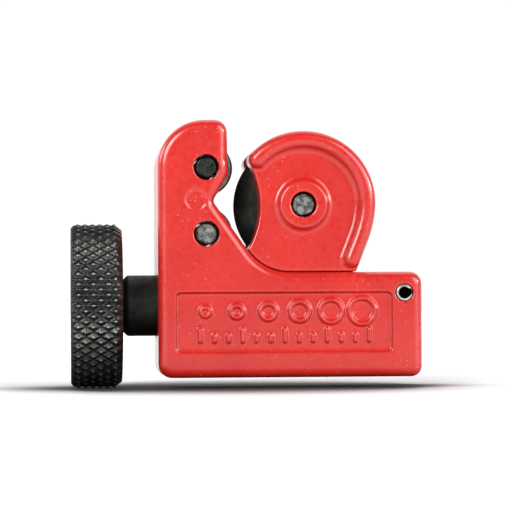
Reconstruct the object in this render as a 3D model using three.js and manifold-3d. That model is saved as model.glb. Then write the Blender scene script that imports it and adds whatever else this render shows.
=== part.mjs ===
// A miniature tube cutter for tube of 3 to 16 mm: a die-cast frame with two rollers in its arm, and a
// carriage with the cutting wheel, which a knurled knob and its feed screw draw along the frame.
//
// Millimetres. X runs along the screw, away from the knob. Y runs from the front face to the back
// face. Z is up. The origin lies under the middle of the tool, level with the knob's lowest point.

import * as THREE from "three";
import { mergeVertices } from "three/addons/utils/BufferGeometryUtils.js";
import Module from "manifold-3d";

const wasm = await Module();
wasm.setup();

// ---------------------------------------------------------------- driving dimensions

const bodyWidth = 17.6; // frame and carriage, front face to back face
const cheek = 3.6; // thickness of the frame's side walls
const slideGap = 0.15; // between the carriage and the frame, everywhere
const edgeRound = 0.8; // rounding of the frame's outer edges

const frame = { left: -13.9, right: 27.4, bottom: 1.7, railTop: 18.1, armTop: 41.9 };
const frameCorner = { bottomLeft: 2.2, bottomRight: 1.7, topRight: 1.9, tip: 2 };
const arm = { radius: 7.4, web: 2.2, tipSide: -3.02, nose: 3.5 };
const notch = { x: -5.3, z: 29.2, round: 0.4 }; // the V between the two rollers
const seat = { x: 6.65, z: 26, radius: 7.9 }; // the frame's hollow for the closed carriage
const leftWall = 5; // the wall that carries the screw
const channelFloor = 6.5;
const label = { left: -11.15, right: 22.6, bottom: 5.64, top: 14.92, corner: 0.6, depth: 0.5 };

const knob = { radius: 13, left: -27.4, width: 8, bore: 3.5, dish: 9, dishDepth: 0.8 };
const screwZ = knob.radius; // height of the screw's axis
const screw = { spigot: 3.4, shank: 4.8, journal: 4, thread: 3.95, end: 23, groove: 3.2 };
const counterbore = { radius: 5.1, depth: 2 };
const wallBore = 4.15;

const roller = { x: -6.35, upperZ: 34.45, lowerZ: 24.1, radius: 4.3, bore: 1.95 };
const rollerPin = { radius: 1.75, hole: 1.95, recess: 0.35 };

const wheel = { x: 8.85, z: 28.63, radius: 10.45, bore: 1.95, hub: 3.2, hubWidth: 5.6 };
const wheelSlot = { width: 6, radius: 10.75 };
const wheelPin = { radius: 1.75, hole: 1.95, front: -7.9, back: 8.45 };
const wheelClip = { front: 7.8, thickness: 0.4, outer: 2.9, inner: 1.4, groove: 1.3 };

const disc = { x: 8.92, z: 28.87, radius: 11.3, end: -5 }; // the carriage's round top
const flank = { radius: 17.5, end: -21.5 }; // the flatter arc below it, and its slope in degrees
const throatEdge = { x: -11.75, z: 28.6, radius: 13.8 }; // the carriage's hollow left edge
const ridge = { width: 2.7, height: 1.1, lowEnd: 20.1, round: 0.9 };
const boss = { radius: 4.15, slope: 0.5, height: 0.8 };

const travel = 14.7; // of the carriage, from closed to a 16 mm tube
const stopPin = { x: 24.55, z: 14.8, outer: 1.26, inner: 0.81, hole: 1.4, slotAngle: 10, gap: 36 };
const nut = { left: -4, right: stopPin.x - stopPin.outer - 0.1 - travel, bore: 4.1 };

const fineSegments = 64; // for large round pieces
const smallSegments = 32; // for pins and holes

// ---------------------------------------------------------------- geometry helpers

const degrees = Math.PI / 180;
const half = bodyWidth / 2;
const slotHalf = half - cheek;

/** A closed geometry as a manifold solid, for cutting and joining. */
function solidOf(geometry) {
  geometry.deleteAttribute("normal");
  geometry.deleteAttribute("uv");
  const merged = mergeVertices(geometry, 1e-4);
  const corners = merged.index.array;
  const triangles = [];
  for (let i = 0; i < corners.length; i += 3) {
    const [a, b, c] = corners.slice(i, i + 3);
    const flat = a === b || b === c || c === a;
    if (!flat) triangles.push(a, b, c);
  }
  return new wasm.Manifold(
    new wasm.Mesh({
      numProp: 3,
      vertProperties: new Float32Array(merged.attributes.position.array),
      triVerts: new Uint32Array(triangles),
    }),
  );
}

/** A manifold solid as a three.js geometry. */
function geometryOf(solid) {
  const mesh = solid.getMesh();
  const geometry = new THREE.BufferGeometry();
  geometry.setAttribute("position", new THREE.BufferAttribute(mesh.vertProperties, 3));
  geometry.setIndex(new THREE.BufferAttribute(mesh.triVerts, 1));
  geometry.computeVertexNormals();
  return geometry;
}

/** Adds an arc, in degrees; it runs clockwise when the second angle is the smaller one. */
function arc(outline, centre, radius, from, to) {
  outline.absarc(centre.x, centre.z, radius, from * degrees, to * degrees, to < from);
}

/** The direction, in degrees, from a centre to the point where a line from outside touches its circle. */
function tangentAngle(centre, radius, outside, side) {
  const across = outside.x - centre.x;
  const up = outside.z - centre.z;
  const opening = Math.acos(radius / Math.hypot(across, up));
  return (Math.atan2(up, across) + side * opening) / degrees;
}

/** Where two circles cross; side is 1 for the crossing left of the line from one to two. */
function crossing(one, radiusOne, two, radiusTwo, side) {
  const across = two.x - one.x;
  const up = two.z - one.z;
  const apart = Math.hypot(across, up);
  const along = (radiusOne ** 2 - radiusTwo ** 2 + apart ** 2) / (2 * apart);
  const aside = (side * Math.sqrt(radiusOne ** 2 - along ** 2)) / apart;
  return {
    x: one.x + (across * along) / apart - up * aside,
    z: one.z + (up * along) / apart + across * aside,
  };
}

function angleTo(centre, point) {
  return Math.atan2(point.z - centre.z, point.x - centre.x) / degrees;
}

function polar(centre, radius, angle) {
  return {
    x: centre.x + radius * Math.cos(angle * degrees),
    z: centre.z + radius * Math.sin(angle * degrees),
  };
}

/** Extrudes an outline drawn in X and Z between two Y values, with its edges rounded if asked. */
function extruded(outline, front, back, round = 0) {
  const geometry = new THREE.ExtrudeGeometry(outline, {
    depth: back - front - 2 * round,
    curveSegments: 8,
    bevelEnabled: round > 0,
    bevelThickness: round,
    bevelSize: round,
    bevelOffset: -round,
    bevelSegments: 2,
  });
  geometry.rotateX(Math.PI / 2);
  geometry.translate(0, back - round, 0);
  return solidOf(geometry);
}

/** Turns a profile of [radius, position] pairs about an axis along Y. */
function turned(profile, segments) {
  const points = profile.map(([radius, position]) => new THREE.Vector2(radius, position));
  if (profile[0][0] > 0) points.push(points[0].clone());
  return solidOf(new THREE.LatheGeometry(points, segments));
}

/** The same, about the screw's axis. */
function turnedOnScrew(profile, segments) {
  return turned(profile, segments).rotate([0, 0, -90]).translate([0, 0, screwZ]);
}

/** A plain round bar along Y. */
function barAlongY(at, radius, front, back) {
  const profile = [
    [0, front],
    [radius, front],
    [radius, back],
    [0, back],
  ];
  return turned(profile, smallSegments).translate([at.x, 0, at.z]);
}

/** A plain round bar along the screw's axis. */
function barOnScrew(radius, left, right) {
  const profile = [
    [0, left],
    [radius, left],
    [radius, right],
    [0, right],
  ];
  return turnedOnScrew(profile, fineSegments);
}

/** A bar along Y with both ends chamfered. */
function chamferedPin(at, radius, front, back, chamfer) {
  const profile = [
    [0, front],
    [radius - chamfer, front],
    [radius, front + chamfer],
    [radius, back - chamfer],
    [radius - chamfer, back],
    [0, back],
  ];
  return turned(profile, smallSegments).translate([at.x, 0, at.z]);
}

/** A ring outline with a gap, which faces the given direction. */
function openRing(outer, inner, gap, direction) {
  const centre = { x: 0, z: 0 };
  const outline = new THREE.Shape();
  arc(outline, centre, outer, direction + gap / 2, direction + 360 - gap / 2);
  arc(outline, centre, inner, direction + 360 - gap / 2, direction + gap / 2);
  return outline;
}

function roundedRectangle({ left, right, bottom, top, corner }) {
  const outline = new THREE.Shape();
  arc(outline, { x: left + corner, z: bottom + corner }, corner, 180, 270);
  arc(outline, { x: right - corner, z: bottom + corner }, corner, 270, 360);
  arc(outline, { x: right - corner, z: top - corner }, corner, 0, 90);
  arc(outline, { x: left + corner, z: top - corner }, corner, 90, 180);
  return outline;
}

function polygon(corners) {
  return new THREE.Shape(corners.map(([x, z]) => new THREE.Vector2(x, z)));
}

// ---------------------------------------------------------------- frame

const rollerCentres = [
  { x: roller.x, z: roller.upperZ },
  { x: roller.x, z: roller.lowerZ },
];
const armCentre = { x: frame.left + arm.radius, z: frame.armTop - arm.radius };

/** The V between the rollers, from the seat's tangent point up to the arm's nose. */
function addNotch(outline) {
  const fromSeat = tangentAngle(seat, seat.radius, notch, 1);
  arc(outline, seat, seat.radius, 270, fromSeat);
  const nose = rollerCentres[0];
  const toNose = tangentAngle(nose, arm.nose, notch, 1);
  const below = polar(notch, notch.round, angleTo(notch, polar(seat, seat.radius, fromSeat)));
  const above = polar(notch, notch.round, angleTo(notch, polar(nose, arm.nose, toNose)));
  outline.lineTo(below.x, below.z);
  outline.quadraticCurveTo(notch.x, notch.z, above.x, above.z);
  const leaving = Math.acos((arm.tipSide - nose.x) / arm.nose) / degrees;
  arc(outline, nose, arm.nose, toNose, leaving);
}

function frameOutline() {
  const { left, right, bottom, railTop, armTop } = frame;
  const { bottomLeft, bottomRight, topRight, tip } = frameCorner;
  const outline = new THREE.Shape();
  arc(outline, { x: left + bottomLeft, z: bottom + bottomLeft }, bottomLeft, 180, 270);
  arc(outline, { x: right - bottomRight, z: bottom + bottomRight }, bottomRight, 270, 360);
  arc(outline, { x: right - topRight, z: railTop - topRight }, topRight, 0, 90);
  addNotch(outline);
  arc(outline, { x: arm.tipSide - tip, z: armTop - tip }, tip, 0, 90);
  arc(outline, armCentre, arm.radius, 90, 180);
  return outline;
}

/** The space between the arm's cheeks, which a wall closes at the left and over the top. */
function rollerSlot() {
  const outline = new THREE.Shape();
  arc(outline, armCentre, arm.radius - arm.web, 90, 180);
  outline.lineTo(frame.left + arm.web, frame.railTop);
  outline.lineTo(seat.x, frame.railTop);
  outline.lineTo(seat.x, armCentre.z + arm.radius - arm.web);
  return extruded(outline, -slotHalf, slotHalf);
}

/** The channel for the screw and the carriage's foot, open at the top and at the right end. */
function screwChannel() {
  const left = frame.left + leftWall;
  const right = frame.right + 1;
  const top = frame.railTop + 1;
  const outline = polygon([
    [left, channelFloor],
    [right, channelFloor],
    [right, top],
    [left, top],
  ]);
  return extruded(outline, -slotHalf, slotHalf);
}

function labelRecess(front, back) {
  return extruded(roundedRectangle(label), front, back);
}

function frameSolid() {
  let solid = extruded(frameOutline(), -half, half, edgeRound);
  const cuts = [
    rollerSlot(),
    screwChannel(),
    labelRecess(-half - 1, -half + label.depth),
    labelRecess(half - label.depth, half + 1),
    barOnScrew(wallBore, frame.left - 1, frame.left + leftWall + 1),
    barOnScrew(counterbore.radius, frame.left - 1, frame.left + counterbore.depth),
    barAlongY(stopPin, stopPin.hole, -half - 1, half + 1),
    ...rollerCentres.map((at) => barAlongY(at, rollerPin.hole, -half - 1, half + 1)),
  ];
  for (const cut of cuts) solid = solid.subtract(cut);
  return solid;
}

// ---------------------------------------------------------------- carriage

const ridgeMiddle = disc.radius - ridge.width / 2;
const ridgeStart = crossing(
  throatEdge,
  throatEdge.radius + ridge.width / 2,
  disc,
  ridgeMiddle,
  1,
);
const flankCentre = polar(disc, disc.radius - flank.radius, disc.end);
const carriageBottom = frame.railTop + slideGap;

/** A point on the line that runs down the right side, at the given distance inside the edge. */
function flankPoint(inset, height) {
  const start = polar(flankCentre, flank.radius - inset, flank.end);
  const down = start.z - height;
  return { x: start.x + down * Math.tan(flank.end * degrees), z: height };
}

function cheekOutline() {
  const seatRadius = seat.radius - slideGap;
  const lowCorner = crossing(throatEdge, throatEdge.radius, seat, seatRadius, -1);
  const foot = flankPoint(0, carriageBottom);
  const outline = new THREE.Shape();
  arc(outline, seat, seatRadius, angleTo(seat, lowCorner) + 360, 270);
  outline.lineTo(foot.x, foot.z);
  const start = angleTo(disc, ridgeStart);
  arc(outline, flankCentre, flank.radius, flank.end, disc.end);
  arc(outline, disc, disc.radius, disc.end, start);
  const top = angleTo(throatEdge, ridgeStart);
  arc(outline, ridgeStart, ridge.width / 2, start, top + 180);
  arc(outline, throatEdge, throatEdge.radius, top, angleTo(throatEdge, lowCorner));
  return outline;
}

/** The raised edge, from its round end at the throat over the top to its round end at the rail. */
function ridgeOutline() {
  const radius = ridge.width / 2;
  const start = angleTo(disc, ridgeStart);
  const lowEnd = flankPoint(radius, ridge.lowEnd);
  const outline = new THREE.Shape();
  arc(outline, flankCentre, flank.radius, flank.end, disc.end);
  arc(outline, disc, disc.radius, disc.end, start);
  arc(outline, ridgeStart, radius, start, start + 180);
  arc(outline, disc, disc.radius - ridge.width, start, disc.end);
  arc(outline, flankCentre, flank.radius - ridge.width, disc.end, flank.end);
  arc(outline, lowEnd, radius, flank.end - 180, flank.end);
  return outline;
}

/** The foot that runs in the channel: the nut, its neck, and a sole under the wheel. */
function footSolid() {
  const width = slotHalf - slideGap;
  const bottom = channelFloor + 2 * slideGap;
  const sole = screwZ + nut.bore + 0.2;
  const soleEnd = flankPoint(0.3, carriageBottom).x;
  const inCheeks = frame.railTop + 1.4;
  const outline = polygon([
    [nut.left, bottom],
    [nut.right, bottom],
    [nut.right, sole],
    [soleEnd, sole],
    [soleEnd, inCheeks],
    [seat.x, inCheeks],
    [1.2, 22.2],
    [nut.left, sole],
  ]);
  return extruded(outline, -width, width);
}

/** The slot for the wheel, closed round the right and open to the throat at the left. */
function wheelSlotSolid() {
  const outline = new THREE.Shape();
  const beyond = frame.left;
  arc(outline, wheel, wheelSlot.radius, -90, 90);
  outline.lineTo(beyond, wheel.z + wheelSlot.radius);
  outline.lineTo(beyond, wheel.z - wheelSlot.radius);
  return extruded(outline, -wheelSlot.width / 2, wheelSlot.width / 2);
}

/** The raised disc round the wheel pin, with sloping sides. */
function bossSolid(face) {
  const profile = [
    [0, -face - boss.height],
    [boss.radius - boss.slope, -face - boss.height],
    [boss.radius, -face],
    [boss.radius, 0],
    [0, 0],
  ];
  return turned(profile, smallSegments).translate([wheel.x, 0, wheel.z]);
}

function carriageSolid() {
  const face = half - ridge.height;
  let solid = extruded(cheekOutline(), -face, face)
    .add(extruded(ridgeOutline(), -half, half, ridge.round))
    .add(bossSolid(face))
    .add(footSolid());
  const cuts = [
    wheelSlotSolid(),
    barAlongY(wheel, wheelPin.hole, -half - 1, half + 1),
    barOnScrew(nut.bore, nut.left - 1, nut.right + 1),
  ];
  for (const cut of cuts) solid = solid.subtract(cut);
  return solid;
}

// ---------------------------------------------------------------- wheel, rollers and their pins

function cuttingWheelSolid() {
  const hub = wheel.hubWidth / 2;
  const bodyHalf = 1.5;
  const bevelStart = 8;
  const profile = [
    [wheel.bore, -hub],
    [wheel.hub, -hub],
    [wheel.hub, -bodyHalf],
    [bevelStart, -bodyHalf],
    [wheel.radius, 0],
    [bevelStart, bodyHalf],
    [wheel.hub, bodyHalf],
    [wheel.hub, hub],
    [wheel.bore, hub],
  ];
  return turned(profile, fineSegments).translate([wheel.x, 0, wheel.z]);
}

function wheelPinSolid() {
  const grooveStart = wheelClip.front - 0.05;
  const grooveEnd = wheelClip.front + wheelClip.thickness + 0.05;
  const chamfer = 0.15;
  const profile = [
    [0, wheelPin.front],
    [wheelPin.radius - chamfer, wheelPin.front],
    [wheelPin.radius, wheelPin.front + chamfer],
    [wheelPin.radius, grooveStart],
    [wheelClip.groove, grooveStart],
    [wheelClip.groove, grooveEnd],
    [wheelPin.radius, grooveEnd],
    [wheelPin.radius - chamfer, wheelPin.back],
    [0, wheelPin.back],
  ];
  return turned(profile, smallSegments).translate([wheel.x, 0, wheel.z]);
}

function wheelClipSolid() {
  const ring = openRing(wheelClip.outer, wheelClip.inner, 100, -90);
  const back = wheelClip.front + wheelClip.thickness;
  return extruded(ring, wheelClip.front, back).translate([wheel.x, 0, wheel.z]);
}

function rollerSolid(at) {
  const end = slotHalf - 0.2;
  const chamfer = 0.4;
  const profile = [
    [roller.bore, -end],
    [roller.radius - chamfer, -end],
    [roller.radius, -end + chamfer],
    [roller.radius, end - chamfer],
    [roller.radius - chamfer, end],
    [roller.bore, end],
  ];
  return turned(profile, fineSegments).translate([at.x, 0, at.z]);
}

function rollerPinSolid(at) {
  const end = half - rollerPin.recess;
  return chamferedPin(at, rollerPin.radius, -end, end, 0.15);
}

/** A rolled spring pin: a tube with a slot along it. */
function stopPinSolid() {
  const ring = openRing(stopPin.outer, stopPin.inner, stopPin.gap, stopPin.slotAngle);
  const end = half - 0.15;
  return extruded(ring, -end, end).translate([stopPin.x, 0, stopPin.z]);
}

// ---------------------------------------------------------------- screw, knob and what holds them

const knobRight = knob.left + knob.width;
const washerSpace = 0.8; // between the shank's end and the counterbore's floor
const shoulder = frame.left + counterbore.depth - washerSpace;
const ringLeft = frame.left + leftWall + 1.05;
const ringThickness = 0.5;

function feedScrewSolid() {
  const tip = 0.8;
  const round = 0.6;
  const spigotEnd = knob.left + 0.3;
  const grooveLeft = ringLeft - 0.05;
  const grooveRight = ringLeft + ringThickness + 0.05;
  const profile = [
    [0, spigotEnd],
    [screw.spigot, spigotEnd],
    [screw.spigot, knobRight + 0.1],
    [screw.shank - round, knobRight + 0.1],
    [screw.shank, knobRight + 0.1 + round],
    [screw.shank, shoulder],
    [screw.journal, shoulder],
    [screw.journal, grooveLeft],
    [screw.groove, grooveLeft],
    [screw.groove, grooveRight],
    [screw.thread, grooveRight],
    [screw.thread, screw.end - tip],
    [screw.thread - tip, screw.end],
    [0, screw.end],
  ];
  return turnedOnScrew(profile, fineSegments);
}

function knobSolid() {
  const leftChamfer = 0.5;
  const rightChamfer = 1;
  const profile = [
    [knob.bore, knob.left + knob.dishDepth],
    [knob.dish, knob.left + knob.dishDepth],
    [knob.dish, knob.left],
    [knob.radius - leftChamfer, knob.left],
    [knob.radius, knob.left + leftChamfer],
    [knob.radius, knobRight - rightChamfer],
    [knob.radius - rightChamfer, knobRight],
    [knob.bore, knobRight],
  ];
  return turnedOnScrew(profile, fineSegments);
}

function thrustWasherSolid() {
  const left = shoulder + 0.1;
  const right = shoulder + washerSpace - 0.1;
  const profile = [
    [wallBore, left],
    [counterbore.radius - 0.2, left],
    [counterbore.radius - 0.2, right],
    [wallBore, right],
  ];
  return turnedOnScrew(profile, fineSegments);
}

/** A ring bent into three waves, which takes up the play behind the wall. */
function waveWasherSolid() {
  const middle = (frame.left + leftWall + ringLeft) / 2;
  const thickness = 0.3;
  const wave = 0.25;
  const profile = [
    [wallBore, -thickness / 2],
    [screw.journal + 0.9, -thickness / 2],
    [screw.journal + 0.9, thickness / 2],
    [wallBore, thickness / 2],
    [wallBore, -thickness / 2],
  ];
  const points = profile.map(([radius, position]) => new THREE.Vector2(radius, position));
  const geometry = new THREE.LatheGeometry(points, fineSegments);
  const position = geometry.attributes.position;
  for (let i = 0; i < position.count; i++) {
    const around = Math.atan2(position.getX(i), position.getZ(i));
    position.setY(i, position.getY(i) + wave * Math.cos(3 * around));
  }
  return solidOf(geometry).rotate([0, 0, -90]).translate([middle, 0, screwZ]);
}

function retainingRingSolid() {
  const ring = openRing(slotHalf - 0.2, screw.groove + 0.15, 70, 90);
  return extruded(ring, 0, ringThickness)
    .rotate([0, 0, -90])
    .translate([ringLeft, 0, screwZ]);
}

// ---------------------------------------------------------------- assembly

const redPaint = { color: 0xd8261f, roughness: 0.3, metalness: 0 };
const brightSteel = { color: 0x9a9d98, roughness: 0.35, metalness: 1 };
const greySteel = { color: 0x6f736f, roughness: 0.4, metalness: 1 };
const blackOxide = { color: 0x24262a, roughness: 0.5, metalness: 0.8 };

const pieces = [
  ["frame", frameSolid(), redPaint],
  ["carriage", carriageSolid(), redPaint],
  ["cutting_wheel", cuttingWheelSolid(), blackOxide],
  ["wheel_pin", wheelPinSolid(), brightSteel],
  ["wheel_pin_clip", wheelClipSolid(), greySteel],
  ["upper_roller", rollerSolid(rollerCentres[0]), greySteel],
  ["lower_roller", rollerSolid(rollerCentres[1]), greySteel],
  ["upper_roller_pin", rollerPinSolid(rollerCentres[0]), brightSteel],
  ["lower_roller_pin", rollerPinSolid(rollerCentres[1]), brightSteel],
  ["slide_stop_pin", stopPinSolid(), brightSteel],
  ["knob", knobSolid(), blackOxide],
  ["feed_screw", feedScrewSolid(), blackOxide],
  ["thrust_washer", thrustWasherSolid(), greySteel],
  ["wave_washer", waveWasherSolid(), greySteel],
  ["retaining_ring", retainingRingSolid(), greySteel],
];

const tubeCutter = new THREE.Group();
for (const [name, solid, look] of pieces) {
  const mesh = new THREE.Mesh(geometryOf(solid), new THREE.MeshStandardMaterial(look));
  mesh.name = name;
  tubeCutter.add(mesh);
}

export default tubeCutter;
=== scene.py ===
"""The finished look of a miniature tube cutter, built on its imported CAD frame.

Shapes are worked out in millimetres, in the frame of the CAD model: X along the screw, away from
the knob, Y from the front face to the back face, and Z up. place() turns them into metres.
"""

from math import acos, atan2, ceil, cos, degrees, floor, hypot, pi, radians, sin, sqrt, tan, tau
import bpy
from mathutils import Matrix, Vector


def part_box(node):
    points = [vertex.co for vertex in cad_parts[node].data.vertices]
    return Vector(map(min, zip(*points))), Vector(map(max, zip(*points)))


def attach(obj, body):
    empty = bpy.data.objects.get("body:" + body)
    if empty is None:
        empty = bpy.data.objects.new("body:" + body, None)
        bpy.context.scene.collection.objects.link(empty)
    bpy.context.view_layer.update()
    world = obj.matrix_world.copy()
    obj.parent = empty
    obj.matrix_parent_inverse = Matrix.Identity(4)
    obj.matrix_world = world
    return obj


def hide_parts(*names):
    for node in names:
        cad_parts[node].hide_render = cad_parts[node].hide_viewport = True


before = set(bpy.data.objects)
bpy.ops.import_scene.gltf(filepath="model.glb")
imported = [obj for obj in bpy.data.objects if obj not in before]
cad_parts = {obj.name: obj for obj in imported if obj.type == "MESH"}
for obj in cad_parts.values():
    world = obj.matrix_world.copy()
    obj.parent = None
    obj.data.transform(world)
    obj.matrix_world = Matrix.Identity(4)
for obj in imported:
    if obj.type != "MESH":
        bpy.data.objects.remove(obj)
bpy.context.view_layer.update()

from types import SimpleNamespace

import bpy
from mathutils import Matrix, Vector

# ------------------------------------------------------------------ sizes, in millimetres


def box(node):
    """A CAD node's box, its middle and its radius as seen from the front."""
    low, high = (Vector(corner) * 1000 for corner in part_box(node))
    return SimpleNamespace(
        left=low.x, right=high.x, front=low.y, back=high.y, bottom=low.z, top=high.z,
        x=(low.x + high.x) / 2, z=(low.z + high.z) / 2, radius=(high.z - low.z) / 2,
    )


BODY = box("frame")
CARRIAGE = box("carriage")
WHEEL = box("cutting_wheel")
KNOB = box("knob")
SCREW = box("feed_screw")
ROLLERS = {"upper_roller": box("upper_roller"), "lower_roller": box("lower_roller")}
STOP_PIN = box("slide_stop_pin")
CLIP = box("wheel_pin_clip")
RING = box("retaining_ring")

HALF = BODY.back  # the body's width runs from -HALF to HALF
CHEEK = 3.6  # the frame's side walls
SLOT_HALF = HALF - CHEEK
EDGE = 1.35  # the rounding of the frame's outer edges
STOP_PIN_HOLE = 1.4
EJECTOR_MARK = SimpleNamespace(at=(-8.0, 29.4), radius=1.7, depth=0.12)
SEAM = 0.05  # between the carriage and the frame

RAIL_TOP = 18.1  # the edge that the carriage slides on
ARM_RADIUS = 7.4
ARM_WEB = 2.2
ARM_SIDE = -3.02  # the flat right side of the arm's tip
ARM_NOSE = 3.5  # radius of the cheek about the upper roller's pin
ARM_TIP = 2.0  # rounding of the arm's top right corner
NOTCH = (-5.3, 29.2)  # the V between the two rollers
SEAT = (6.65, 26.0)  # the middle of the frame's hollow for the closed carriage
SEAT_RADIUS = 7.9
LEFT_WALL = 5.0
CHANNEL_FLOOR = 6.5
LABEL = SimpleNamespace(left=-11.15, right=22.6, bottom=5.64, top=14.92, corner=0.7, depth=0.5)

SCREW_Z = KNOB.radius
WALL_BORE = 4.15
COUNTERBORE = 5.1  # its radius, as WALL_BORE is the bore's
COUNTERBORE_DEPTH = 2.0
THREAD_PITCH = 1.25
THREAD_DEPTH = 0.68

PIN_RADIUS = 1.74
PIN_HOLE = 1.98

WHEEL_AT = (WHEEL.x, WHEEL.z)
WHEEL_SLOT = 10.75
WHEEL_SLOT_HALF = 3  # half the width of the slot for the wheel
WHEEL_BORE = 1.95
DISC = (8.92, 28.87)  # the middle of the carriage's round top
DISC_RADIUS = 11.3
DISC_END = -5  # where the flatter arc of the right side starts, degrees
FLANK_RADIUS = 17.5
FLANK_END = -21.5  # where that arc runs out into the straight part
THROAT = (-11.75, 28.6)  # the middle of the arc of the carriage's hollow left edge
THROAT_RADIUS = 13.8
FACE = HALF - 1.1  # the carriage's faces, below its raised ridge
RIDGE_WIDTH = 2.75
RIDGE_LOW_END = 20.1
BOSS = 4.15
BOSS_SLOPE = 0.55
BOSS_HEIGHT = 0.8
WHEEL_PIN_HOLE = 1.98
TRAVEL = 14.7  # of the carriage, from closed to open
NUT_RIGHT = STOP_PIN.left - 0.15 - TRAVEL  # the open nut stops just short of the pin
NUT_BORE = 4.1

# ------------------------------------------------------------------ plane geometry


def polar(centre, radius, angle):
    turn = radians(angle)
    return centre[0] + radius * cos(turn), centre[1] + radius * sin(turn)


def angle_to(centre, point):
    return degrees(atan2(point[1] - centre[1], point[0] - centre[0]))


def arc(centre, radius, start, end, step=0.22):
    """Points along an arc, in degrees; it runs clockwise when end is the smaller angle."""
    count = max(3, ceil(abs(radians(end - start)) * radius / step))
    return [polar(centre, radius, start + (end - start) * i / count) for i in range(count + 1)]


def tangent_angle(centre, radius, outside):
    """The direction from a centre to where a line from a point outside touches its circle."""
    apart = hypot(outside[0] - centre[0], outside[1] - centre[1])
    return angle_to(centre, outside) + degrees(acos(radius / apart))


def crossing(one, radius_one, two, radius_two, side):
    """Where two circles cross; side is 1 for the crossing left of the line from one to two."""
    across, up = two[0] - one[0], two[1] - one[1]
    apart = hypot(across, up)
    along = (radius_one**2 - radius_two**2 + apart**2) / (2 * apart)
    aside = side * sqrt(radius_one**2 - along**2)
    x = one[0] + (across * along - up * aside) / apart
    z = one[1] + (up * along + across * aside) / apart
    return x, z


def rounded_corner(before, corner, after, distance, count=6):
    """A corner cut back by a distance along both sides and bent smoothly between them."""
    corner = Vector(corner)
    start = corner + (Vector(before) - corner).normalized() * distance
    end = corner + (Vector(after) - corner).normalized() * distance
    points = []
    for i in range(count + 1):
        t = i / count
        points.append(tuple(start * (1 - t) ** 2 + corner * 2 * t * (1 - t) + end * t**2))
    return points


def rounded_rectangle(left, right, bottom, top, corner):
    return (
        arc((left + corner, bottom + corner), corner, 180, 270)
        + arc((right - corner, bottom + corner), corner, 270, 360)
        + arc((right - corner, top - corner), corner, 0, 90)
        + arc((left + corner, top - corner), corner, 90, 180)
    )


def without_repeats(outline):
    """Drops each point that lies on the one before it."""
    kept = []
    for point in outline:
        if not kept or hypot(point[0] - kept[-1][0], point[1] - kept[-1][1]) > 1e-4:
            kept.append(point)
    if hypot(kept[0][0] - kept[-1][0], kept[0][1] - kept[-1][1]) < 1e-4:
        kept.pop()
    return kept


def inset(outline, distance):
    """A counterclockwise outline, moved inwards."""
    moved = []
    count = len(outline)
    for i, here in enumerate(outline):
        back = Vector(here) - Vector(outline[i - 1])
        ahead = Vector(outline[(i + 1) % count]) - Vector(here)
        back.normalize()
        ahead.normalize()
        left_of_back = Vector((-back.y, back.x))
        left_of_ahead = Vector((-ahead.y, ahead.x))
        mitre = (left_of_back + left_of_ahead) / (1 + left_of_back.dot(left_of_ahead))
        moved.append(tuple(Vector(here) + mitre * distance))
    return moved


# ------------------------------------------------------------------ solids: (vertices, faces)


def loops_to_solid(loops, closed):
    """Skins a row of loops; closed joins the last loop to the first, else both ends are capped."""
    size = len(loops[0])
    vertices = [point for loop in loops for point in loop]
    faces = []
    for i in range(len(loops) if closed else len(loops) - 1):
        a, b = i * size, (i + 1) % len(loops) * size
        faces += [(a + j, a + (j + 1) % size, b + (j + 1) % size, b + j) for j in range(size)]
    if not closed:
        last = (len(loops) - 1) * size
        faces.append(tuple(reversed(range(size))))
        faces.append(tuple(range(last, last + size)))
    return vertices, faces


def slab(outline, front, back, edge=0.0):
    """An outline in X and Z, extruded along Y, with both rims rounded if asked."""
    outline = without_repeats(outline)
    rims = [(0.0, 0.0)]
    if edge:
        steps = 5
        turns = [radians(90 * i / steps) for i in range(steps + 1)]
        rims = [(edge * (1 - sin(t)), edge * (1 - cos(t))) for t in turns]
    levels = [(move, front + depth) for move, depth in rims]
    levels += [(move, back - depth) for move, depth in reversed(rims)]
    loops = [[(x, y, z) for x, z in inset(outline, move)] for move, y in levels]
    return loops_to_solid([loop[::-1] for loop in loops], closed=False)


def soften(profile, distance, closed):
    """Rounds the corners of a turned profile."""
    count = len(profile)
    softened = []
    for i, corner in enumerate(profile):
        before, after = profile[i - 1], profile[(i + 1) % count]
        end = not closed and i in (0, count - 1)
        sides = [hypot(corner[0] - p[0], corner[1] - p[1]) for p in (before, after)]
        if end:
            softened.append(corner)
        else:
            softened += rounded_corner(before, corner, after, min(distance, min(sides) * 0.45), 3)
    return softened


def turn(profile, axis, at=(0.0, 0.0), segments=96, shape=None):
    """Turns [radius, position] pairs about an axis along "x" or "y".

    at is the axis's place: (y, z) for "x" and (x, z) for "y". shape may change a point's radius,
    given its radius, its position along the axis and its angle round it.
    """
    closed = profile[0][0] > 0
    loops = []
    for radius, along in profile:
        loop = []
        for i in range(segments):
            around = tau * i / segments
            reach = shape(radius, along, around) if shape else radius
            reach = max(reach, 0.004)
            side, up = reach * sin(around), reach * cos(around)
            if axis == "x":
                loop.append((along, at[0] - side, at[1] + up))
            else:
                loop.append((at[0] + side, along, at[1] + up))
        loops.append(loop)
    return loops_to_solid(loops, closed)


def bar(axis, at, radius, start, end):
    return turn([(0, start), (radius, start), (radius, end), (0, end)], axis, at)


def joined(*solids):
    """Several separate solids as one."""
    vertices, faces = [], []
    for more_vertices, more_faces in solids:
        start = len(vertices)
        vertices += more_vertices
        faces += [tuple(i + start for i in face) for face in more_faces]
    return vertices, faces


# ------------------------------------------------------------------ Blender objects


def make_object(name, solid):
    vertices, faces = solid
    mesh = bpy.data.meshes.new(name)
    mesh.from_pydata(vertices, [], faces)
    mesh.validate()
    piece = bpy.data.objects.new(name, mesh)
    bpy.context.scene.collection.objects.link(piece)
    return piece


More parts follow.
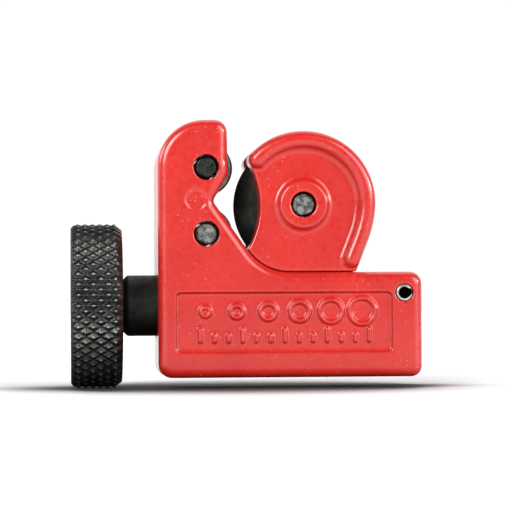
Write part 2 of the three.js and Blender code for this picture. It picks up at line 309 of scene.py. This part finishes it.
def apply_modifiers(piece):
    bpy.context.view_layer.update()
    graph = bpy.context.evaluated_depsgraph_get()
    old = piece.data
    piece.data = bpy.data.meshes.new_from_object(piece.evaluated_get(graph))
    piece.modifiers.clear()
    bpy.data.meshes.remove(old)


def combine(piece, solid, operation):
    """Joins a solid to a piece, or cuts it out."""
    tool = make_object("tool", solid)
    modifier = piece.modifiers.new("combine", "BOOLEAN")
    modifier.operation = operation
    modifier.solver = "EXACT"
    modifier.object = tool
    apply_modifiers(piece)
    bpy.data.meshes.remove(tool.data)


def cast(piece, voxel, passes):
    """Gives a casting its soft edges, as under powder coat."""
    remesh = piece.modifiers.new("skin", "REMESH")
    remesh.mode = "VOXEL"
    remesh.voxel_size = voxel
    smooth = piece.modifiers.new("soften", "SMOOTH")
    smooth.factor = 0.5
    smooth.iterations = passes
    apply_modifiers(piece)


def place(piece, node, body, material, sharp=None):
    """Scales a piece to metres and puts it on its body, in its CAD node's place."""
    piece.data.transform(Matrix.Scale(0.001, 4))
    piece.data.shade_smooth()
    if sharp is not None:
        piece.data.set_sharp_from_angle(angle=radians(sharp))
    piece.data.materials.clear()
    piece.data.materials.append(material)
    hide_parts(node)
    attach(piece, body)


# ------------------------------------------------------------------ materials


class Nodes:
    """A Principled material with short ways to add nodes."""

    def __init__(self, name):
        self.material = bpy.data.materials.new(name)
        self.material.use_nodes = True
        self.tree = self.material.node_tree
        self.shader = self.tree.nodes["Principled BSDF"]
        self.place = self.add("ShaderNodeTexCoord").outputs["Object"]

    def add(self, kind, **settings):
        node = self.tree.nodes.new(kind)
        for key, value in settings.items():
            setattr(node, key, value)
        return node

    def link(self, output, node, socket):
        self.tree.links.new(output, node.inputs[socket])

    def set(self, **values):
        """Constants on the shader's own sockets."""
        for name, value in values.items():
            self.shader.inputs[name.replace("_", " ")].default_value = value

    def noise(self, size, detail=3.0, roughness=0.5):
        """Noise with features of about the given size in millimetres."""
        node = self.add("ShaderNodeTexNoise")
        node.inputs["Scale"].default_value = 1000 / size
        node.inputs["Detail"].default_value = detail
        node.inputs["Roughness"].default_value = roughness
        self.link(self.place, node, "Vector")
        return node.outputs["Fac"]

    def cells(self, size):
        """Distance from the middle of the nearest cell, for cells of the given size in millimetres."""
        node = self.add("ShaderNodeTexVoronoi", feature="F1")
        node.inputs["Scale"].default_value = 1000 / size
        self.link(self.place, node, "Vector")
        return node.outputs["Distance"]

    def rescale(self, value, low, high, to_low=0.0, to_high=1.0):
        node = self.add("ShaderNodeMapRange", interpolation_type="SMOOTHSTEP")
        node.inputs["From Min"].default_value = low
        node.inputs["From Max"].default_value = high
        node.inputs["To Min"].default_value = to_low
        node.inputs["To Max"].default_value = to_high
        self.link(value, node, "Value")
        return node.outputs["Result"]

    def math(self, operation, one, two):
        node = self.add("ShaderNodeMath", operation=operation)
        for i, value in enumerate((one, two)):
            if isinstance(value, float):
                node.inputs[i].default_value = value
            else:
                self.tree.links.new(value, node.inputs[i])
        return node.outputs["Value"]

    def mix(self, share, dark, light):
        """A colour between two, each a colour or another output."""
        node = self.add("ShaderNodeMix", data_type="RGBA")
        self.link(share, node, "Factor")
        for i, colour in ((6, dark), (7, light)):
            if isinstance(colour, tuple):
                node.inputs[i].default_value = (*colour, 1)
            else:
                self.tree.links.new(colour, node.inputs[i])
        return node.outputs[2]

    def bump(self, height, depth):
        """Relief of the given depth in millimetres, on top of any relief there is."""
        node = self.add("ShaderNodeBump")
        node.inputs["Distance"].default_value = depth / 1000
        self.link(height, node, "Height")
        normal = self.shader.inputs["Normal"]
        if normal.is_linked:
            self.link(normal.links[0].from_socket, node, "Normal")
        self.link(node.outputs["Normal"], self.shader, "Normal")

    def distance_from_axis(self, y, z):
        """Distance, in metres, from a line along X."""
        move = self.add("ShaderNodeVectorMath", operation="SUBTRACT")
        move.inputs[1].default_value = (0, y / 1000, z / 1000)
        self.link(self.place, move, 0)
        flatten = self.add("ShaderNodeVectorMath", operation="MULTIPLY")
        flatten.inputs[1].default_value = (0, 1, 1)
        self.link(move.outputs["Vector"], flatten, 0)
        length = self.add("ShaderNodeVectorMath", operation="LENGTH")
        self.link(flatten.outputs["Vector"], length, 0)
        return length.outputs["Value"]


def powder_coat():
    """Glossy red powder coat with orange peel, and patches of small raised nibs whose pale colour is a
    painted glint.
    """
    made = Nodes("red_powder_coat")
    drift = made.rescale(made.noise(9, 3), 0.35, 0.65)
    red = made.mix(drift, (0.43, 0.0105, 0.0070), (0.475, 0.0140, 0.0095))
    # small raised nibs (their relief is bumped below) coloured pale: the pale colour is a painted
    # glint
    nibs_and_glints = made.rescale(made.cells(0.7), 0.08, 0.15, 1.0, 0.0)
    patches = made.rescale(made.noise(5, 3, 0.6), 0.48, 0.62)
    nibs_and_glints = made.math("MULTIPLY", nibs_and_glints, patches)
    colour = made.mix(nibs_and_glints, red, (0.80, 0.26, 0.23))
    made.link(colour, made.shader, "Base Color")
    gloss = made.rescale(made.noise(0.9, 4, 0.6), 0.3, 0.7, 0.24, 0.36)
    made.link(gloss, made.shader, "Roughness")
    made.set(Coat_Weight=0.5, Coat_Roughness=0.09)
    made.bump(made.noise(1.5, 2, 0.5), 0.022)
    made.bump(made.noise(0.38, 3, 0.6), 0.008)
    made.bump(nibs_and_glints, 0.04)
    return made.material


def black_oxide(name, worn_radius=None, dull=0.48):
    """Blackened steel; past worn_radius from the screw's axis the black is rubbed to bare steel."""
    made = Nodes(name)
    cloud = made.rescale(made.noise(2.2, 4, 0.6), 0.3, 0.7)
    colour = made.mix(cloud, (0.013, 0.0145, 0.0125), (0.034, 0.037, 0.033))
    if worn_radius:
        reach = made.distance_from_axis(0, SCREW_Z)
        ragged = made.math("MULTIPLY", made.noise(0.5, 3, 0.6), 0.00022)
        ragged = made.math("ADD", reach, ragged)
        worn = made.rescale(ragged, worn_radius / 1000, (worn_radius + 0.2) / 1000)
        colour = made.mix(worn, colour, (0.30, 0.31, 0.30))
    made.link(colour, made.shader, "Base Color")
    made.link(
        made.rescale(made.noise(0.7, 4, 0.6), 0.3, 0.7, dull - 0.1, dull + 0.1),
        made.shader, "Roughness",
    )
    made.set(Metallic=0.75)
    made.bump(made.noise(0.3, 3, 0.6), 0.006)
    return made.material


def steel(name, dark, light, rough, grain, relief=0.004):
    """Bare steel with fine grain."""
    made = Nodes(name)
    cloud = made.rescale(made.noise(grain * 4, 4, 0.6), 0.3, 0.7)
    made.link(made.mix(cloud, dark, light), made.shader, "Base Color")
    gloss = made.rescale(made.noise(grain, 4, 0.6), 0.3, 0.7, rough - 0.08, rough + 0.1)
    made.link(gloss, made.shader, "Roughness")
    made.set(Metallic=1.0)
    made.bump(made.noise(grain, 3, 0.6), relief)
    return made.material


# ------------------------------------------------------------------ frame


def arm_centre():
    return BODY.left + ARM_RADIUS, BODY.top - ARM_RADIUS


def frame_outline():
    upper = ROLLERS["upper_roller"]
    nose = (upper.x, upper.z)
    on_seat = tangent_angle(SEAT, SEAT_RADIUS, NOTCH)
    on_nose = tangent_angle(nose, ARM_NOSE, NOTCH)
    corner_low_left, corner_low_right, corner_rail = 2.2, 1.7, 1.9
    below = polar(SEAT, SEAT_RADIUS, on_seat)
    above = polar(nose, ARM_NOSE, on_nose)
    leaving = degrees(acos((ARM_SIDE - nose[0]) / ARM_NOSE))
    low = BODY.bottom
    return (
        arc((BODY.left + corner_low_left, low + corner_low_left), corner_low_left, 180, 270)
        + arc((BODY.right - corner_low_right, low + corner_low_right), corner_low_right, 270, 360)
        + arc((BODY.right - corner_rail, RAIL_TOP - corner_rail), corner_rail, 0, 90)
        + arc(SEAT, SEAT_RADIUS, 270, on_seat)
        + rounded_corner(below, NOTCH, above, 0.5)
        + arc(nose, ARM_NOSE, on_nose, leaving)
        + arc((ARM_SIDE - ARM_TIP, BODY.top - ARM_TIP), ARM_TIP, 0, 90)
        + arc(arm_centre(), ARM_RADIUS, 90, 180)
    )


def roller_slot():
    inner = ARM_RADIUS - ARM_WEB
    top = arm_centre()[1] + inner
    left = BODY.left + ARM_WEB
    outline = [(left, RAIL_TOP), (SEAT[0], RAIL_TOP), (SEAT[0], top)]
    outline += arc(arm_centre(), inner, 90, 180)
    return slab(outline, -SLOT_HALF, SLOT_HALF)


def screw_channel():
    left, right = BODY.left + LEFT_WALL, BODY.right + 1
    top = RAIL_TOP + 1
    outline = [(left, CHANNEL_FLOOR), (right, CHANNEL_FLOOR), (right, top), (left, top)]
    return slab(outline, -SLOT_HALF, SLOT_HALF)


def label_recess(front, back):
    outline = rounded_rectangle(LABEL.left, LABEL.right, LABEL.bottom, LABEL.top, LABEL.corner)
    return slab(outline, front, back)


def size_marks():
    """Raised marks in the front recess: growing tube rings over a scale of ticks."""
    floor_y = -HALF + LABEL.depth
    top, bottom = floor_y - 0.4, floor_y + 0.5
    line = 0.62
    marks = []
    upper_row = LABEL.bottom + 6.35
    for i in range(6):
        radius = 1.0 + 0.27 * i
        centre = -6.6 + 4.9 * i
        ring = [
            (radius - line, bottom),
            (radius, bottom),
            (radius, top),
            (radius - line, top),
        ]
        marks.append(turn(ring, "y", (centre, upper_row), 64))
    lower_row = LABEL.bottom + 1.5
    for i in range(13):
        centre = -7.4 + 2.2 * i
        height = 2.3 if i % 3 == 0 else 1.4
        outline = rounded_rectangle(
            centre - line / 2, centre + line / 2, lower_row, lower_row + height, 0.2
        )
        marks.append(slab(outline, top, bottom))
    return joined(*marks)


def build_frame(material):
    piece = make_object("frame_casting", slab(frame_outline(), -HALF, HALF, EDGE))
    cuts = [
        roller_slot(),
        screw_channel(),
        label_recess(-HALF - 1, -HALF + LABEL.depth),
        label_recess(HALF - LABEL.depth, HALF + 1),
        bar("x", (0, SCREW_Z), WALL_BORE, BODY.left - 1, BODY.left + LEFT_WALL + 1),
        bar("x", (0, SCREW_Z), COUNTERBORE, BODY.left - 1, BODY.left + COUNTERBORE_DEPTH),
        bar("y", (STOP_PIN.x, STOP_PIN.z), STOP_PIN_HOLE, -HALF - 1, HALF + 1),
        bar("y", EJECTOR_MARK.at, EJECTOR_MARK.radius, -HALF - 1, -HALF + EJECTOR_MARK.depth),
    ]
    for roller in ROLLERS.values():
        cuts.append(bar("y", (roller.x, roller.z), PIN_HOLE, -HALF - 1, HALF + 1))
    for cut in cuts:
        combine(piece, cut, "DIFFERENCE")
    combine(piece, size_marks(), "UNION")
    cast(piece, voxel=0.16, passes=5)
    place(piece, "frame", "frame", material)


# ------------------------------------------------------------------ carriage


FLANK = polar(DISC, DISC_RADIUS - FLANK_RADIUS, DISC_END)  # the middle of the right side's arc


def ridge_start(width):
    """The middle of the ridge's round end at the throat."""
    return crossing(THROAT, THROAT_RADIUS + width / 2, DISC, DISC_RADIUS - width / 2, 1)


def flank_point(inset_by, height):
    """A point on the line down the right side, at a distance inside the edge."""
    x, z = polar(FLANK, FLANK_RADIUS - inset_by, FLANK_END)
    return x + (z - height) * tan(radians(FLANK_END)), height


def cheek_outline():
    seat_radius = SEAT_RADIUS - SEAM
    bottom = RAIL_TOP + SEAM
    low_corner = crossing(THROAT, THROAT_RADIUS, SEAT, seat_radius, -1)
    start = ridge_start(RIDGE_WIDTH)
    over = angle_to(DISC, start)
    seat_start = angle_to(SEAT, low_corner) + 360
    seat_centre = (SEAT[0], bottom + seat_radius)
    return (
        arc(seat_centre, seat_radius, seat_start, 270)
        + [flank_point(0, bottom)]
        + arc(FLANK, FLANK_RADIUS, FLANK_END, DISC_END)
        + arc(DISC, DISC_RADIUS, DISC_END, over)
        + arc(start, RIDGE_WIDTH / 2, over, angle_to(THROAT, start) + 180)
        + arc(THROAT, THROAT_RADIUS, angle_to(THROAT, start), angle_to(THROAT, low_corner))
    )


def ridge_outline(width, low_end):
    """A band along the top edge, from its round end at the throat to its round end low down."""
    radius = width / 2
    start = ridge_start(width)
    over = angle_to(DISC, start)
    return (
        arc(FLANK, FLANK_RADIUS, FLANK_END, DISC_END)
        + arc(DISC, DISC_RADIUS, DISC_END, over)
        + arc(start, radius, over, over + 180)
        + arc(DISC, DISC_RADIUS - width, over, DISC_END)
        + arc(FLANK, FLANK_RADIUS - width, DISC_END, FLANK_END)
        + arc(flank_point(radius, low_end), radius, FLANK_END - 180, FLANK_END)
    )


def boss():
    """The raised disc round the wheel pin, with a sloping side that runs out in a fillet."""
    top = -FACE - BOSS_HEIGHT
    profile = [
        (0, top),
        (BOSS - BOSS_SLOPE, top),
        (BOSS - 0.15, -FACE - 0.25),
        (BOSS + 0.2, -FACE - 0.04),
        (BOSS + 0.2, 0),
        (0, 0),
    ]
    return turn(profile, "y", WHEEL_AT)


def foot():
    width = SLOT_HALF - 0.15
    sole = SCREW_Z + NUT_BORE + 0.2
    sole_end = flank_point(0.4, RAIL_TOP)[0]
    inside = RAIL_TOP + 1.4
    outline = [
        (CARRIAGE.left, CARRIAGE.bottom),
        (NUT_RIGHT, CARRIAGE.bottom),
        (NUT_RIGHT, sole),
        (sole_end, sole),
        (sole_end, inside),
        (SEAT[0], inside),
        (1.2, 22.2),
        (CARRIAGE.left, sole),
    ]
    return slab(outline, -width, width, 0.3)


def wheel_slot():
    outline = arc(WHEEL_AT, WHEEL_SLOT, -90, 90)
    outline += [
        (BODY.left, WHEEL.z + WHEEL_SLOT),
        (BODY.left, WHEEL.z - WHEEL_SLOT),
    ]
    return slab(outline, -WHEEL_SLOT_HALF, WHEEL_SLOT_HALF)


def build_carriage(material):
    cheeks = inset(without_repeats(cheek_outline()), 0.02)  # just inside the ridge's outer wall
    piece = make_object("carriage_casting", slab(cheeks, -FACE, FACE, 0.2))
    ridge = without_repeats(ridge_outline(RIDGE_WIDTH, RIDGE_LOW_END))
    ridge_foot = without_repeats(ridge_outline(RIDGE_WIDTH + 0.6, RIDGE_LOW_END))
    joins = [
        slab(ridge, -HALF, HALF, 1.2),
        slab(inset(ridge_foot, 0.3), -FACE - 0.2, 0, 0.19),
        boss(),
        foot(),
    ]
    cuts = [
        wheel_slot(),
        bar("y", WHEEL_AT, WHEEL_PIN_HOLE, -HALF - 1, HALF + 1),
        bar("x", (0, SCREW_Z), NUT_BORE, CARRIAGE.left - 1, NUT_RIGHT + 1),
    ]
    for join in joins:
        combine(piece, join, "UNION")
    for cut in cuts:
        combine(piece, cut, "DIFFERENCE")
    cast(piece, voxel=0.15, passes=6)
    place(piece, "carriage", "carriage", material)


# ------------------------------------------------------------------ turned steel pieces


def build_turned(name, node, body, material, profile, axis, at, soft=0.08, segments=96):
    closed = profile[0][0] > 0
    solid = turn(soften(profile, soft, closed), axis, at, segments)
    place(make_object(name, solid), node, body, material, sharp=40)


def build_rollers(material):
    end = SLOT_HALF - 0.2
    bore, chamfer = 1.95, 0.35
    for node, roller in ROLLERS.items():
        profile = [
            (bore, -end),
            (roller.radius - chamfer, -end),
            (roller.radius, -end + chamfer),
            (roller.radius, end - chamfer),
            (roller.radius - chamfer, end),
            (bore, end),
        ]
        build_turned(node + "_turned", node, node, material, profile, "y", (roller.x, roller.z))


def build_roller_pins(materials):
    end = HALF - 0.4
    for node, roller in ROLLERS.items():
        profile = [
            (0, -end),
            (PIN_RADIUS - 0.3, -end + 0.04),
            (PIN_RADIUS, -end + 0.35),
            (PIN_RADIUS, end - 0.35),
            (PIN_RADIUS - 0.3, end - 0.04),
            (0, end),
        ]
        at = (roller.x, roller.z)
        pin = node + "_pin"
        build_turned(pin + "_turned", pin, "frame", materials[node], profile, "y", at, soft=0.15)


def build_wheel(material):
    hub, hub_half, body_half = 3.2, 2.8, 1.5
    bevel_start = 8.0
    rim, rim_half = WHEEL.radius - 0.02, 0.04
    profile = [
        (WHEEL_BORE, -hub_half),
        (hub, -hub_half),
        (hub, -body_half),
        (bevel_start, -body_half),
        (rim, -rim_half),
        (rim, rim_half),
        (bevel_start, body_half),
        (hub, body_half),
        (hub, hub_half),
        (WHEEL_BORE, hub_half),
    ]
    build_turned(
        "cutting_wheel_turned", "cutting_wheel", "cutting_wheel", material, profile, "y",
        WHEEL_AT, soft=0.06, segments=160,
    )


def build_wheel_pin(material):
    front, back = -7.9, 8.42
    tip, groove_radius = 1.6, 1.3
    groove = (CLIP.front - 0.05, CLIP.back + 0.05)
    profile = [
        (0, front),
        (tip, front),
        (PIN_RADIUS, front + 0.15),
        (PIN_RADIUS, groove[0]),
        (groove_radius, groove[0]),
        (groove_radius, groove[1]),
        (PIN_RADIUS, groove[1]),
        (tip, back),
        (0, back),
    ]
    build_turned(
        "wheel_pin_turned", "wheel_pin", "carriage", material, profile, "y", WHEEL_AT, soft=0.04
    )


# ------------------------------------------------------------------ open rings and the spring pin


def open_ring(outer, inner, gap, direction):
    start, end = direction + gap / 2, direction + 360 - gap / 2
    return arc((0, 0), outer, start, end, 0.12) + arc((0, 0), inner, end, start, 0.12)


def moved(solid, x, z):
    vertices, faces = solid
    return [(a + x, b, c + z) for a, b, c in vertices], faces


def build_stop_pin(material):
    end = HALF - 0.15
    solid = slab(open_ring(1.26, 0.81, 36, 10), -end, end, 0.12)
    piece = make_object("slide_stop_pin_rolled", moved(solid, x=STOP_PIN.x, z=STOP_PIN.z))
    place(piece, "slide_stop_pin", "frame", material, sharp=40)


def build_wheel_clip(material):
    solid = slab(open_ring(2.88, 1.4, 100, -90), CLIP.front, CLIP.back, 0.08)
    piece = make_object("wheel_pin_clip_stamped", moved(solid, x=WHEEL.x, z=WHEEL.z))
    place(piece, "wheel_pin_clip", "carriage", material, sharp=40)


def build_retaining_ring(material):
    solid = slab(open_ring(4.98, 3.35, 70, 90), RING.left, RING.right, 0.08)
    vertices = [(along, -across, up + SCREW_Z) for across, along, up in solid[0]]
    piece = make_object("retaining_ring_stamped", (vertices, solid[1]))
    place(piece, "retaining_ring", "screw", material, sharp=40)


def build_washers(material):
    outer, wave_bore = 4.88, 4.17
    thrust = box("thrust_washer")
    profile = [
        (WALL_BORE, thrust.left),
        (outer, thrust.left),
        (outer, thrust.right),
        (WALL_BORE, thrust.right),
    ]
    build_turned(
        "thrust_washer_turned", "thrust_washer", "screw", material, profile, "x", (0, SCREW_Z)
    )
    wave = box("wave_washer")
    thickness = 0.3
    swing = (wave.right - wave.left - thickness) / 2
    segments = 120
    loops = []
    for radius, side in ((wave_bore, -1), (outer, -1), (outer, 1), (wave_bore, 1)):
        loop = []
        for i in range(segments):
            around = tau * i / segments
            along = (wave.left + wave.right) / 2 + side * thickness / 2 + swing * cos(3 * around)
            loop.append((along, -radius * sin(around), SCREW_Z + radius * cos(around)))
        loops.append(loop)
    piece = make_object("wave_washer_bent", loops_to_solid(loops, closed=True))
    place(piece, "wave_washer", "screw", material, sharp=40)


# ------------------------------------------------------------------ knob and feed screw


def groove(turns):
    """How deep a V groove is at a place between two grooves: 1 on a groove, 0 halfway."""
    return abs(2 * (turns - floor(turns)) - 1)


def knurl(radius, along, around):
    """Diamonds where two families of V grooves cross at opposite helix angles."""
    if radius < KNOB.radius - 1.5:
        return radius
    starts, lead_step, depth = 48, 2.3, 0.55
    round_turns = around / tau * starts
    along_turns = (along - KNOB.left) / lead_step
    deepest = max(groove(round_turns + along_turns), groove(round_turns - along_turns))
    return min(radius, KNOB.radius - 0.03 - depth * deepest)


def build_knob(material):
    left, right, radius = KNOB.left, KNOB.right, KNOB.radius
    dish, dish_depth, bore = 9.0, 0.8, 3.5
    plain = [
        (bore, left + dish_depth),
        (dish - 0.5, left + dish_depth),
        (dish, left),
        (radius - 0.75, left),
    ]
    knurled_left, knurled_right = left + 0.45, right - 1.0
    stations = 44
    barrel = [
        (radius, knurled_left + (knurled_right - knurled_left) * i / stations)
        for i in range(stations + 1)
    ]
    chamfer_right = [(radius - 0.3, right - 0.95), (radius - 1.0, right), (bore, right)]
    profile = soften(plain, 0.15, closed=False) + barrel + chamfer_right
    solid = turn(profile, "x", (0, SCREW_Z), 768, knurl)
    place(make_object("knob_knurled", solid), "knob", "screw", material, sharp=75)


def thread(radius, along, around):
    """A V thread with a flat crest, right-handed, running out next to the ring's groove."""
    start, end = RING.right + 0.6, SCREW.right - 0.9
    if not start < along < end or radius < 3.5:
        return radius
    fade = min(1, (along - start) / 1.2)
    turns = along / THREAD_PITCH - around / tau
    valley = max(0, (groove(turns) - 0.15) / 0.85)
    return radius - THREAD_DEPTH * valley * fade


def build_screw(material):
    spigot, journal, ring_groove = 3.4, 4.0, 3.2
    knob_right = KNOB.right
    shank = SCREW.radius
    shoulder = BODY.left + COUNTERBORE_DEPTH - 0.8
    thread_radius = 3.95
    head = [
        (0, SCREW.left),
        (spigot, SCREW.left),
        (spigot, knob_right + 0.1),
        (shank - 0.8, knob_right + 0.1),
        (shank, knob_right + 0.9),
        (shank, shoulder),
        (journal, shoulder),
        (journal, RING.left - 0.05),
        (ring_groove, RING.left - 0.05),
        (ring_groove, RING.right + 0.05),
        (thread_radius, RING.right + 0.05),
    ]
    thread_left, thread_right = RING.right + 0.3, SCREW.right - 0.8
    stations = 290
    threaded = [
        (thread_radius, thread_left + (thread_right - thread_left) * i / stations)
        for i in range(stations + 1)
    ]
    tip = [(thread_radius - 0.8, SCREW.right), (0, SCREW.right)]
    profile = soften(head, 0.3, closed=False) + threaded + tip
    solid = turn(profile, "x", (0, SCREW_Z), 96, thread)
    place(make_object("feed_screw_turned", solid), "feed_screw", "screw", material, sharp=50)


# ------------------------------------------------------------------ assembly

red = powder_coat()
pin_steel = steel("pin_steel", (0.012, 0.016, 0.012), (0.20, 0.21, 0.20), 0.34, 0.2, 0.12)
# painted shade: the upper roller's pin is the same steel as the lower one; this darker copy of it
# stands in for shade
shaded_pin_steel = steel(
    "shaded_pin_steel", (0.012, 0.016, 0.012), (0.05, 0.056, 0.05), 0.32, 0.35, 0.04
)
roller_steel = steel("roller_steel", (0.10, 0.105, 0.10), (0.19, 0.195, 0.19), 0.4, 0.3)
spring_steel = steel("spring_steel", (0.42, 0.43, 0.42), (0.66, 0.67, 0.66), 0.3, 0.3)
wheel_black = black_oxide("wheel_black_oxide", dull=0.62)
screw_black = black_oxide("screw_black_oxide", dull=0.55)
knob_black = black_oxide("knob_black_oxide", worn_radius=KNOB.radius - 0.12, dull=0.32)

build_frame(red)
build_carriage(red)
build_rollers(roller_steel)
build_roller_pins({"upper_roller": shaded_pin_steel, "lower_roller": pin_steel})
build_wheel(wheel_black)
build_wheel_pin(pin_steel)
build_stop_pin(spring_steel)
build_wheel_clip(spring_steel)
build_retaining_ring(spring_steel)
build_washers(spring_steel)
build_knob(knob_black)
build_screw(screw_black)

# ------------------------------------------------------------------ floor, light and camera


def build_floor():
    """A wide pale table top, with a painted contact shadow: its colour darkens towards whatever stands
    close above it.
    """
    side = 6.0
    corners = [(-side, -side, 0), (side, -side, 0), (side, side, 0), (-side, side, 0)]
    mesh = bpy.data.meshes.new("floor")
    mesh.from_pydata(corners, [], [(0, 1, 2, 3)])
    sheet = bpy.data.objects.new("floor", mesh)
    bpy.context.scene.collection.objects.link(sheet)
    paper = Nodes("white_paper")
    tone = paper.rescale(paper.noise(60, 3), 0.3, 0.7)
    white = paper.mix(tone, (0.94, 0.94, 0.94), (0.96, 0.96, 0.96))
    # painted contact shadow: ambient occlusion darkens the floor's colour close under and round the
    # cutter
    painted_shadow_occlusion = paper.add("ShaderNodeAmbientOcclusion", samples=12)
    painted_shadow_occlusion.inputs["Distance"].default_value = 0.11
    painted_contact_shadow = paper.rescale(painted_shadow_occlusion.outputs["AO"], 0.6, 0.99)
    paper.link(paper.mix(painted_contact_shadow, (0.02, 0.02, 0.02), white), paper.shader, "Base Color")
    paper.set(Roughness=0.9)
    mesh.materials.append(paper.material)


def aim(thing, place_m, target_m, roll=0.0):
    thing.location = place_m
    look = (Vector(target_m) - Vector(place_m)).to_track_quat("-Z", "Y")
    thing.rotation_euler = (look.to_matrix() @ Matrix.Rotation(radians(roll), 3, "Z")).to_euler()


def soft_sun(name, direction, radiance, spread):
    """Even light from a direction; spread is how wide the source looks, in degrees."""
    data = bpy.data.lights.new(name, "SUN")
    data.energy = radiance * pi
    data.angle = radians(spread)
    light = bpy.data.objects.new(name, data)
    bpy.context.scene.collection.objects.link(light)
    aim(light, direction, (0, 0, 0))


def light_scene():
    """Soft light from in front at both sides, and from the left, the right and above; white behind."""
    soft_sun("key", (-0.5, -0.75, 0.38), 0.95, 32)
    soft_sun("fill", (0.62, -0.72, 0.36), 0.55, 40)
    soft_sun("side", (-1.0, 0.1, 0.4), 0.3, 22)
    soft_sun("edge", (1.0, -0.5, 0.3), 0.4, 12)
    soft_sun("top", (0.15, 0.3, 1.0), 0.15, 45)
    world = bpy.data.worlds.new("studio")
    world.use_nodes = True
    nodes, links = world.node_tree.nodes, world.node_tree.links
    direction = nodes.new("ShaderNodeTexCoord").outputs["Generated"]
    parts = nodes.new("ShaderNodeSeparateXYZ")
    links.new(direction, parts.inputs["Vector"])
    strength = nodes.new("ShaderNodeMapRange")
    strength.interpolation_type = "SMOOTHSTEP"
    strength.inputs["From Min"].default_value = -0.2
    strength.inputs["From Max"].default_value = 0.6
    strength.inputs["To Min"].default_value = 0.08
    strength.inputs["To Max"].default_value = 1.02
    links.new(parts.outputs["Y"], strength.inputs["Value"])
    background = nodes["Background"]
    background.inputs["Color"].default_value = (1, 1, 1, 1)
    links.new(strength.outputs["Result"], background.inputs["Strength"])
    bpy.context.scene.world = world
    bpy.context.scene.view_settings.view_transform = "Standard"


def build_camera():
    data = bpy.data.cameras.new("camera")
    data.lens = 163.2
    data.sensor_width = 36
    camera = bpy.data.objects.new("camera", data)
    bpy.context.scene.collection.objects.link(camera)
    aim(camera, (-0.0285, -0.368, 0.0125), (0.00202, 0, 0.0208), roll=-0.33)
    bpy.context.scene.camera = camera


build_floor()
light_scene()
build_camera()
